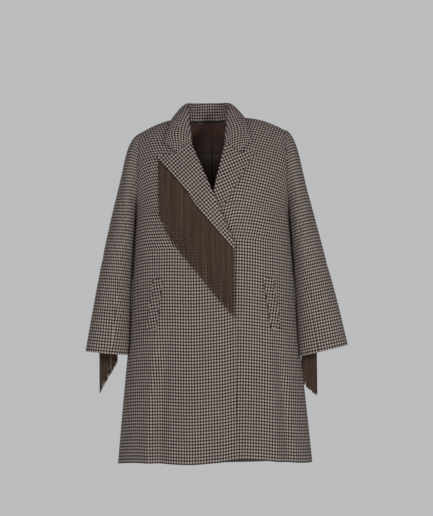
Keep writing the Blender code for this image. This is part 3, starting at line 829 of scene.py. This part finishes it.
def collarPoint(along, across):
    side = right if along < 0.5 else left
    way = towards[side]
    t = abs(2.0 * along - 1.0)
    rows = collar["stations"]
    fold = collarFold(t, way)
    x = coat["neckX"] + way * eased(rows, t, 4)
    edge = overShoulder(x, eased(rows, t, 5), collar["fallOut"])
    turned = radians(eased(rows, t, 6))
    seam = neckEdge(t, side)
    onLapel = smoothStep((t - collar["napeShare"]) / 0.3)
    inside = Vector((-seam.x + coat["neckX"], -seam.y + 0.02, 0.0)).normalized()
    inside = mix(inside, Vector((0.0, 1.0, 0.0)), onLapel)
    reach = mix(*collar["seamGap"], sin(turned))
    foot = seam + (Vector((0.0, 0.0, 1.0)) * cos(turned) + inside * sin(turned)) * reach
    # one curve from the foot to the edge, with the fold at its middle
    middle = (fold * 8.0 - foot - edge) / 6.0
    before, after = t - collar["foldProbe"], min(t + collar["foldProbe"], 1.0)
    foldLine = collarFold(after, way) - collarFold(before, way)
    spread = foldLine.cross(foot + edge - fold * 2.0).normalized() * collar["foldSpread"]
    if spread.dot(edge - foot) < 0.0:
        spread.negate()
    handles = (foot, middle - spread, middle + spread, edge)
    low, on = 1.0 - across, across
    weights = (low ** 3, 3 * on * low ** 2, 3 * on ** 2 * low, on ** 3)
    point = sum((handle * weight for handle, weight in zip(handles, weights)), Vector())
    if t > collar["notchFrom"]:
        share = ((t - collar["notchFrom"]) / (1.0 - collar["notchFrom"])) ** 2
        point = mix(point, leafEnd(across, foot, fold, edge, way), share)
    if across > collar["restFrom"] and point.z < shoulderZ(point.x) - collar["restBelow"]:
        half = front if point.y < 0.0 else back
        q, h = roundCoordinate(point.x, point.z), heightCoordinate(point.x, point.z, half)
        point.y = half * max(half * point.y, half * body(q, h, half, collar["fallOut"]).y)
        point.y += half * collar["edgeLift"] * smoothStep((across - 0.6) / 0.4) * onLapel
    return point


collarCloth = clothPiece("collarCloth", collar, collarPoint,
                         lambda point: Vector((point.x - coat["neckX"], point.y, 1.0)))
print("collar made")


sleeves = {
    "grids": {"top": (76, 110), "under": (50, 110)},
    "anchor": (0.5, 1.0),
    "wall": 0.0025,
    "rounding": 0.0006,
    "head": 0.25,  # share of the sleeve over which it leaves the armhole's shape
    "armholeGap": 0.001,
    "underarmGap": 0.0012,
    "nearer": 0.008,  # the inner side comes in up to this far, to rest against the body
    "leaves": 0.11,  # where along the sleeve it leaves the armhole
    "leavesOver": 0.1,  # and over how much of it its inner side settles
    "restGap": 0.0002,
    "seams": (-104.0, 104.0),  # hind and front seam, in degrees from the outer line
    "metresPerDegree": 0.0011,
    "seamFrom": 0.05,
    "seamOver": 0.1,
    "middleX": 0.245,  # tells a sleeve's outside from its inside
    "lines": (
        # t, outer x, outer z, inner x, inner z, middle y, half depth; a pair is right and left
        (0.0, 0.2, (-0.04, -0.03), 0.213, -0.26, 0.0, 0.06),
        (0.06, (0.2215, 0.2225), (-0.052, -0.04), 0.2142, -0.268, 0.0, 0.064),
        (0.14, (0.234, 0.2345), (-0.078, -0.071), 0.2148, -0.278, 0.001, 0.068),
        (0.25, (0.2445, 0.2455), (-0.13, -0.128), 0.2158, -0.296, 0.002, 0.072),
        (0.38, 0.26, (-0.195, -0.193), 0.218, -0.335, 0.002, 0.074),
        (0.52, (0.28, 0.281), -0.275, 0.2218, -0.395, 0.0, 0.072),
        (0.7, (0.3035, 0.308), -0.385, 0.227, -0.475, -0.01, 0.064),
        (0.86, (0.327, 0.338), (-0.51, -0.505), 0.2335, (-0.56, -0.562), -0.024, 0.055),
        (1.0, (0.3485, 0.3635), (-0.632, -0.622), (0.243, 0.2415), (-0.643, -0.651), -0.04,
         (0.046, 0.048)),
    ),
    "creases": {
        right: (
            # along the sleeve, round it in degrees, slant, half its length and width, depth
            (0.36, 60, 0.0016, 34, 0.02, -0.003), (0.44, 84, 0.0012, 30, 0.018, -0.0026),
            (0.53, 40, -0.001, 36, 0.02, -0.0022), (0.6, 72, 0.0008, 26, 0.016, -0.0024),
            (0.67, 20, -0.0012, 30, 0.018, -0.0018), (0.78, 66, 0.001, 30, 0.022, -0.0016),
            (0.42, -50, 0.0012, 40, 0.022, -0.0026), (0.58, -70, -0.001, 30, 0.018, -0.0026),
            (0.72, -40, 0.001, 34, 0.02, -0.002), (0.5, 124, 0.001, 26, 0.022, -0.0026),
            (0.64, 232, -0.001, 24, 0.02, -0.0022),
        ),
        left: (
            (0.34, 66, 0.0015, 32, 0.019, -0.003), (0.43, 88, 0.0012, 32, 0.019, -0.0028),
            (0.5, 46, -0.0011, 34, 0.019, -0.002), (0.58, 78, 0.0009, 28, 0.017, -0.0026),
            (0.7, 30, -0.001, 30, 0.02, -0.0018), (0.8, 70, 0.0008, 26, 0.02, -0.0016),
            (0.4, -55, 0.0012, 38, 0.021, -0.0027), (0.55, -74, -0.0009, 32, 0.018, -0.0024),
            (0.7, -45, 0.001, 30, 0.02, -0.002), (0.47, 126, 0.001, 26, 0.021, -0.0025),
            (0.62, 234, -0.001, 24, 0.02, -0.0022),
        ),
    },
}


sleeveLines = {side: [[value[number] if isinstance(value, tuple) else value for value in row]
                      for row in sleeves["lines"]] for number, side in enumerate((right, left))}


def bodySide(y, z):
    # half the body's width at a depth y
    share = min(abs(y) / eased(coat["sections"], z, 2), 1.0)
    return eased(coat["sections"], z, 1) * (1.0 - share ** coat["power"]) ** (1.0 / coat["power"])


def armhole(side, angle):
    angle = angle - 360.0 if angle > 180.0 else angle
    half = front if angle >= 0.0 else back
    shoulder = towards[side] * coat["shoulderX"]
    z = mix(coat["underarmZ"], shoulderZ(shoulder), (1.0 + cos(radians(angle))) / 2)
    h = heightCoordinate(shoulder, z, half)
    q = towards[side] * armholeQ((h - coat["underarmH"]) / (1.0 - coat["underarmH"]))
    return surface(q, h, half)


def sleeveCrease(side, angle, t):
    depth = 0.0
    for at, middle, slant, reach, width, size in sleeves["creases"][side]:
        away = (angle - middle + 180.0) % 360.0 - 180.0
        depth += size * bell(away, reach) * bell(t - at - slant * away, width)
    return depth


def sleevePoint(side, angle, t, out=0.0):
    outerX, outerZ, innerX, innerZ, middleY, halfDepth = (
        eased(sleeveLines[side], t, column) for column in range(1, 7))
    outer, inner = Vector((outerX, 0.0, outerZ)), Vector((innerX, 0.0, innerZ))
    if t > sleeves["leaves"]:
        rest = bodySide(middleY, inner.z) + sleeves["wall"] + sleeves["restGap"]
        nearer = smoothStep((t - sleeves["leaves"]) / sleeves["leavesOver"])
        nearer = inner.x - sleeves["nearer"] * nearer
        inner.x = min(inner.x, max(nearer, rest))
    turn = radians(angle)
    point = (outer + inner) / 2 + (outer - inner) / 2 * cos(turn)
    point.y = middleY - halfDepth * sin(turn)
    if out:
        away = (outer - inner).normalized() * cos(turn) - Vector((0.0, sin(turn), 0.0))
        point += away * out
    point.x *= towards[side]
    if t < sleeves["head"]:
        hole = armhole(side, angle)
        lower = (1.0 - cos(turn)) / 2
        hole.x += towards[side] * mix(sleeves["armholeGap"], sleeves["underarmGap"], lower ** 4)
        point = mix(point, hole, (1.0 - t / sleeves["head"]) ** 2)
    return point


def sleeveHalf(side, kind):
    hind, fore = sleeves["seams"]
    first, last = (hind, fore) if kind == "top" else (fore, 360.0 + hind)
    width = (last - first) * sleeves["metresPerDegree"]

    def place(u, v):
        angle = mix(first, last, u)
        drawn = smoothStep((v - sleeves["seamFrom"]) / sleeves["seamOver"])
        out = seamSink(u * width, (1.0 - u) * width) * drawn + sleeveCrease(side, angle, v)
        return sleevePoint(side, angle, v, out)

    def outside(point):
        return Vector((point.x - towards[side] * sleeves["middleX"], point.y, 0.0))

    half = dict(sleeves, grid=sleeves["grids"][kind])
    return clothPiece(side + kind.capitalize() + "Sleeve", half, place, outside, innerSatin)


sleeveCloth = {(side, kind): sleeveHalf(side, kind)
               for side in (right, left) for kind in ("top", "under")}
print("sleeves made")


welts = {
    "grid": (14, 60),
    "wall": 0.003,
    "rounding": 0.0011,
    "flatFrom": 0,
    "turn": 8.0,
    "top": (0.1456, -0.4386),
    "foot": (0.1651, -0.5754),
    "width": 0.0264,
    "rest": 0.00355,
    "crown": 0.0008,
    "mouthLift": 0.0026,  # the opening's edge stands away from the coat
    "mouthEase": 6.0,
}


def weltPoint(side, u, v):
    (topX, topZ), (footX, footZ) = welts["top"], welts["foot"]
    slope = (footX - topX) / (footZ - topZ)
    across = (u - 0.5) * welts["width"]
    x, z = towards[side] * (mix(topX, footX, v) + across), mix(topZ, footZ, v) - slope * across
    ends = smoothStep(v * welts["mouthEase"]) * smoothStep((1.0 - v) * welts["mouthEase"])
    mouth = welts["mouthLift"] * (1.0 - u) ** 2 * ends
    return onFront(x, z, welts["rest"] + welts["crown"] * sin(pi * u) * sin(pi * v) + mouth)


weltCloth = {side: clothPiece(side + "PocketWelt", welts, lambda u, v, s=side: weltPoint(s, u, v),
                              toFront, turn=towards[side] * welts["turn"])
             for side in (right, left)}
print("welts made")


linings = {
    "grid": (46, 40),
    "wall": 0.001,
    "rounding": 0.0,
    "halfWidth": {"yoke": 0.118, "back": 0.135},
    "middleGap": 0.0001,
    "topH": 0.66,
    "seamZ": -0.08,
    "footZ": -0.33,
    "rest": -0.00345,  # middle of the lining inside the back's middle
    "seamDepth": 0.5,  # of what a seam draws in the wool
    "tuck": 0.004,  # the lower lining goes this far up behind the yoke
    "tuckOut": 0.00135,
    "tuckOver": 0.006,
    "pleat": 0.0016,  # the ease pleat at the middle of the back
    "pleatFade": 5.0,
}


def liningPoint(side, kind, u, v):
    halfWidth = linings["halfWidth"][kind]
    x = towards[side] * mix(linings["middleGap"], halfWidth, u)
    out = linings["rest"] + seamSink(u * halfWidth) * linings["seamDepth"]
    if kind == "yoke":
        h = mix(heightCoordinate(x, linings["seamZ"], back), linings["topH"], v)
    else:
        footZ, topZ = linings["footZ"], linings["seamZ"] + linings["tuck"]
        h = mix(heightCoordinate(x, footZ, back), heightCoordinate(x, topZ, back), v)
        above = mix(footZ, topZ, v) - linings["seamZ"] + linings["tuckOver"]
        out += linings["tuckOut"] * smoothStep(above / linings["tuckOver"])
        pleat = bell(u - 0.1, 0.05) - 0.5 * bell(u - 0.3, 0.1)
        out -= linings["pleat"] * pleat * smoothStep((1.0 - v) * linings["pleatFade"])
    return atHeight(x, h, back, out)


liningCloth = {}
for side in (right, left):
    for kind in ("yoke", "back"):
        name = side + kind.capitalize() + "Lining"
        liningCloth[side, kind] = clothPiece(
            name, linings, lambda u, v, s=side, k=kind: liningPoint(s, k, u, v), fromAxis,
            material=satinMaterial(name + " satin"))
print("linings made")


lapelFringe = {
    "strands": 124,
    "layers": 2,
    "joints": 9,
    "width": 0.002,
    "thickness": 0.0012,
    "clump": 0.0085,  # strands gather in locks about this wide
    "gather": 0.34,
    "band": 0.006,
    "tuck": 0.003,
    "rest": 0.00305,  # middle of the band over the front's middle
    "lift": 0.0016,
    "endScatter": 0.007,
    "sway": 0.0011,
    "ends": (
        # x of the strand, z of its lower end
        (-0.143, -0.266), (-0.1365, -0.28), (-0.1176, -0.327), (-0.0859, -0.373), (-0.0479, -0.419),
        (0.0024, -0.485), (0.055, -0.548),
    ),
}


# a path gives a point along the fringe, and down a strand from 0 at its root to 1 at its end
def lapelFringePath(along, down, out, _):
    ends = lapelFringe["ends"]
    x = mix(ends[0][0], ends[-1][0], along)
    rootZ = straight([(row[1], row[0]) for row in lapels["outer"][right]], x) + lapelFringe["tuck"]
    z = rootZ - lapelFringe["band"] * down if down < 0.0 else mix(rootZ, eased(ends, x, 1), down)
    lift = lapelFringe["lift"] * smoothStep(down * 4.0)
    return onFront(x, z, overlap(x, z) + lapelFringe["rest"] + lift + out)


cuffFringe = {
    "strands": 60,
    "layers": 2,
    "joints": 8,
    "width": 0.0031,
    "thickness": 0.0015,
    "clump": 0.008,
    "gather": 0.12,
    "bandAlong": 0.008,  # the band's height, as a share of the sleeve
    "rest": 0.00265,
    "length": 0.17,
    "endScatter": 0.012,
    "sway": 0.003,
    "roots": {
        # along the sleeve and round it from the outer line, at the first and the last strand
        right: ((0.8, -97.0), (0.935, -57.0)),
        left: ((0.86, -138.0), (0.94, -98.0)),
    },
}


def cuffFringePath(along, down, out, side):
    (startT, startAngle), (endT, endAngle) = cuffFringe["roots"][side]
    t, angle = mix(startT, endT, along), mix(startAngle, endAngle, along)
    t -= cuffFringe["bandAlong"] * max(-down, 0.0)
    root = sleevePoint(side, angle, t)
    roundIt = sleevePoint(side, angle + 2.0, t) - root
    alongIt = sleevePoint(side, angle, t + 0.01) - root
    normal = roundIt.cross(alongIt).normalized() * towards[side]
    point = root + normal * (cuffFringe["rest"] + out)
    point.z -= max(down, 0.0) * cuffFringe["length"]
    return point


def strandBlock(bm, joints):
    # one strand, a block drawn out joint by joint, from z 0.5 down to -0.5
    block = bmesh.ops.create_cube(bm, size=1.0)["verts"]
    faces = {face for vert in block for face in vert.link_faces}
    bottom = [face for face in faces if face.calc_center_median().z < -0.49]
    for vert in bottom[0].verts:
        vert.co.z = 0.5 - 1.0 / joints
    verts = list(block)
    for joint in range(2, joints + 1):
        bottom = bmesh.ops.extrude_discrete_faces(bm, faces=bottom)["faces"]
        for vert in bottom[0].verts:
            vert.co.z = 0.5 - joint / joints
            verts.append(vert)
    return verts


strands = {
    # how far each draw may go to either side of its middle, or its spread
    "lockScatter": 0.3,
    "placeScatter": 0.25,
    "endRoom": 0.4,
    "widths": (0.8, 1.2),
    "depthScatter": 0.0003,
    "layerStep": 0.9,
    "bend": 0.6,
    "gathers": (0.6, 1.4),
    "shortness": 0.6,
    "taper": 0.35,  # how much thinner a strand is at its end
    "gatherFrom": 0.2,  # it leans towards its lock below this, at this pace
    "gatherPace": 1.3,
    "ownNoise": (0.37, 0.71),  # how far apart the strands lie in the pile's noise
    "bandFoot": 0.04,  # the band ends this far down the strands and lies this far behind them
    "bandSink": -0.0002,
}


def fringePiece(name, kind, path, side, seed):
    chance = random.Random(seed)
    bm = bmesh.new()
    pitch = 1.0 / kind["strands"]
    room = strands["endRoom"] * pitch
    span = (path(1.0, 0.0, 0.0, side) - path(0.0, 0.0, 0.0, side)).length
    locks = max(round(span / kind["clump"]), 1)
    lockScatter, placeScatter = strands["lockScatter"], strands["placeScatter"]
    lockPlaces = [(lock + 0.5 + chance.uniform(-lockScatter, lockScatter)) / locks
                  for lock in range(locks)]
    spots = {}
    for level in range(kind["layers"]):
        layerDepth = (level - 0.5 * (kind["layers"] - 1)) * kind["thickness"] * strands["layerStep"]
        for number in range(kind["strands"]):
            middle = (number + 0.5 + 0.5 * (level % 2)) * pitch
            middle += chance.uniform(-placeScatter, placeScatter) * pitch
            middle = min(max(middle, room), 1.0 - room)
            lock = min(lockPlaces, key=lambda spot: abs(spot - middle))
            reach = (path(middle, 1.0, 0.0, side) - path(middle, 0.0, 0.0, side)).length
            width = kind["width"] * chance.uniform(*strands["widths"])
            depth = layerDepth + chance.uniform(-1, 1) * strands["depthScatter"]
            sway = chance.gauss(0.0, 1.0) * kind["sway"] / span
            bend = chance.gauss(0.0, strands["bend"]) * kind["sway"] / span
            gather = (lock - middle) * kind["gather"] * chance.uniform(*strands["gathers"])
            length = 1.0 - abs(chance.gauss(0.0, strands["shortness"])) * kind["endScatter"] / reach
            for vert in strandBlock(bm, kind["joints"]):
                down = 0.5 - vert.co.z
                taper = 1.0 - strands["taper"] * down ** 3
                across = middle + vert.co.x * width * taper / span
                swing = sway * down ** 1.5 + bend * sin(down * pi)
                swing += gather * smoothStep(down * strands["gatherPace"] - strands["gatherFrom"])
                out = depth - vert.co.y * kind["thickness"] * taper
                spots[vert] = (across * span + number * strands["ownNoise"][0],
                               down * length * reach + number * strands["ownNoise"][1])
                vert.co = path(min(max(across + swing, 0.0), 1.0), down * length, out, side)
    # the band that the strands hang from, under the cloth's edge
    bmesh.ops.create_grid(bm, x_segments=60, y_segments=2, size=0.5)
    for vert in bm.verts:
        if vert not in spots:
            u, v = vert.co.x + 0.5, vert.co.y + 0.5
            spots[vert] = (u * span, v * lapelFringe["band"])
            vert.co = path(u, mix(-1.0, strands["bandFoot"], v), strands["bandSink"], side)
    setLayout(bm, spots)
    bmesh.ops.recalc_face_normals(bm, faces=bm.faces)
    piece = newObject(name, bm, chenilleMaterial(name + " chenille"))
    piece.data.shade_smooth()
    piece.data.set_sharp_from_angle(angle=radians(50))
    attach(piece, "root")
    return piece


fringes = {
    "lapel_fringe": fringePiece("lapelFringe", lapelFringe, lapelFringePath, right, 11),
    "cuff_fringe_right": fringePiece("rightCuffFringe", cuffFringe, cuffFringePath, right, 23),
    "cuff_fringe_left": fringePiece("leftCuffFringe", cuffFringe, cuffFringePath, left, 37),
}
for node, fringe in fringes.items():
    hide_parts(node)
print("fringes made")


cuts = [
    # piece, its solid, width and length, area in square metres, how it is held, what it rests on,
    # pieces sewn to it
    (backCloth, "back", (0.66, 1.0), 0.547, "hung", ["collarCloth"], []),
]
sideCuts = {
    # the front's cut and area, the lapel's, the areas of the sleeve's halves and of the yoke lining
    right: ((0.4, 0.98), 0.298, (0.13, 0.32), 0.019, 0.112, 0.062, 0.0085),
    left: ((0.38, 0.98), 0.282, (0.1, 0.29), 0.0134, 0.115, 0.064, 0.0083),
}
for side in (right, left):
    frontCut, frontArea, lapelCut, lapelArea, topArea, underArea, yokeArea = sideCuts[side]
    own, joined, onBack = [side + "Front"], ["backPanel", side + "Front"], ["backPanel"]
    hanging = [fringes["lapel_fringe"]] if side == right else []
    cuff = [fringes["cuff_fringe_" + side]]
    top, under = sleeveCloth[side, "top"], sleeveCloth[side, "under"]
    yoke, low = liningCloth[side, "yoke"], liningCloth[side, "back"]
    cuts += [
        (frontCloth[side], "front_" + side, frontCut, frontArea, "hung", onBack, []),
        (lapelCloth[side], "lapel_" + side, lapelCut, lapelArea, "folded", own, hanging),
        (top, "top_sleeve_" + side, (0.24, 0.62), topArea, "hung", joined, cuff),
        (under, "under_sleeve_" + side, (0.16, 0.48), underArea, "hung", joined, []),
        (weltCloth[side], "pocket_welt_" + side, (0.032, 0.145), 0.0043, "laid", own, []),
        (yoke, "lining_yoke_" + side, (0.125, 0.085), yokeArea, "hung", onBack, []),
        (low, "lining_back_" + side, (0.14, 0.262), 0.0348, "hung", onBack, []),
    ]
cuts.append((collarCloth, "collar", (0.45, 0.16), 0.0541, "folded",
             ["backPanel", "rightFront", "leftFront"], []))
for piece, node, flat, area, held, restsOn, withPieces in cuts:
    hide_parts(node)
    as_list(restsOn)
    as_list(withPieces)


studio = {
    "floorZ": -1.45,
    "floorShader": {"Base Color": (0.56, 0.57, 0.58, 1.0), "Roughness": 0.9},
    "floorRadius": 3.2,
    "fadeFrom": 1.5,
    "backdropColour": (0.5, 0.506, 0.51, 1.0),
    "skyColour": (0.165, 0.165, 0.17, 1.0),
    "lights": (
        # name, place, size, watts
        ("key", (1.8, -2.6, 0.1), 0.5, 28.0),
        ("side", (-1.8, -2.6, 0.1), 0.5, 15.0),
        ("front", (-0.3, -3.8, -1.5), 1.8, 25.0),
        ("hind", (-0.8, 3.2, 0.6), 2.2, 60.0),
    ),
    "litPlace": (0.0, 0.0, -0.45),
    "cameraPlace": (0.0096, -4.5, -0.55),
    "aimedAt": (0.0096, 0.0, -0.38),
    "roll": -0.6,
    "lens": 136.0,
    "sensorWidth": 36.0,
}


def floorMaterial():
    # it fades out into the backdrop's colour
    material, tree, shader = newMaterial("pale floor", studio["floorShader"])
    spread = tree.nodes.new("ShaderNodeVectorMath")
    spread.operation = "LENGTH"
    tree.links.new(tree.nodes.new("ShaderNodeTexCoord").outputs["Object"], spread.inputs[0])
    fade = tree.nodes.new("ShaderNodeMapRange")
    fade.interpolation_type = "SMOOTHSTEP"
    for label, value in (("Value", spread.outputs["Value"]), ("From Min", studio["fadeFrom"]),
                         ("From Max", studio["floorRadius"]), ("To Min", 1.0), ("To Max", 0.0)):
        feed(tree, fade.inputs[label], value)
    tree.links.new(fade.outputs[0], shader["Alpha"])
    return material


def setUp(name, data, spot, aim):
    # a light or the camera, which look down their own z
    made = bpy.data.objects.new(name, data)
    made.location = spot
    made.rotation_euler = (Vector(aim) - made.location).to_track_quat("-Z", "Y").to_euler()
    bpy.context.scene.collection.objects.link(made)
    return made


disc = bmesh.new()
bmesh.ops.create_circle(disc, cap_ends=True, segments=96, radius=studio["floorRadius"])
bmesh.ops.translate(disc, verts=disc.verts, vec=(0.0, 0.0, studio["floorZ"]))
newObject("floor", disc, floorMaterial())

world = bpy.data.worlds.new("studio")
bpy.context.scene.world = world
world.use_nodes = True
sky = world.node_tree
seen = sky.nodes.new("ShaderNodeLightPath").outputs["Is Camera Ray"]
sky.links.new(blendColour(sky, seen, studio["skyColour"], studio["backdropColour"]),
              sky.nodes["Background"].inputs["Color"])

for name, spot, size, watts in studio["lights"]:
    lamp = bpy.data.lights.new(name, "AREA")
    lamp.shape = "DISK"
    lamp.size = size
    lamp.energy = watts
    setUp(name, lamp, spot, studio["litPlace"])

view = bpy.data.cameras.new("photograph")
view.lens = studio["lens"]
view.sensor_width = studio["sensorWidth"]
view.sensor_fit = "HORIZONTAL"
camera = setUp("photograph", view, studio["cameraPlace"], studio["aimedAt"])
camera.rotation_euler.rotate_axis("Z", radians(studio["roll"]))
bpy.context.scene.camera = camera
bpy.context.scene.view_settings.view_transform = "Standard"
print("studio ready")
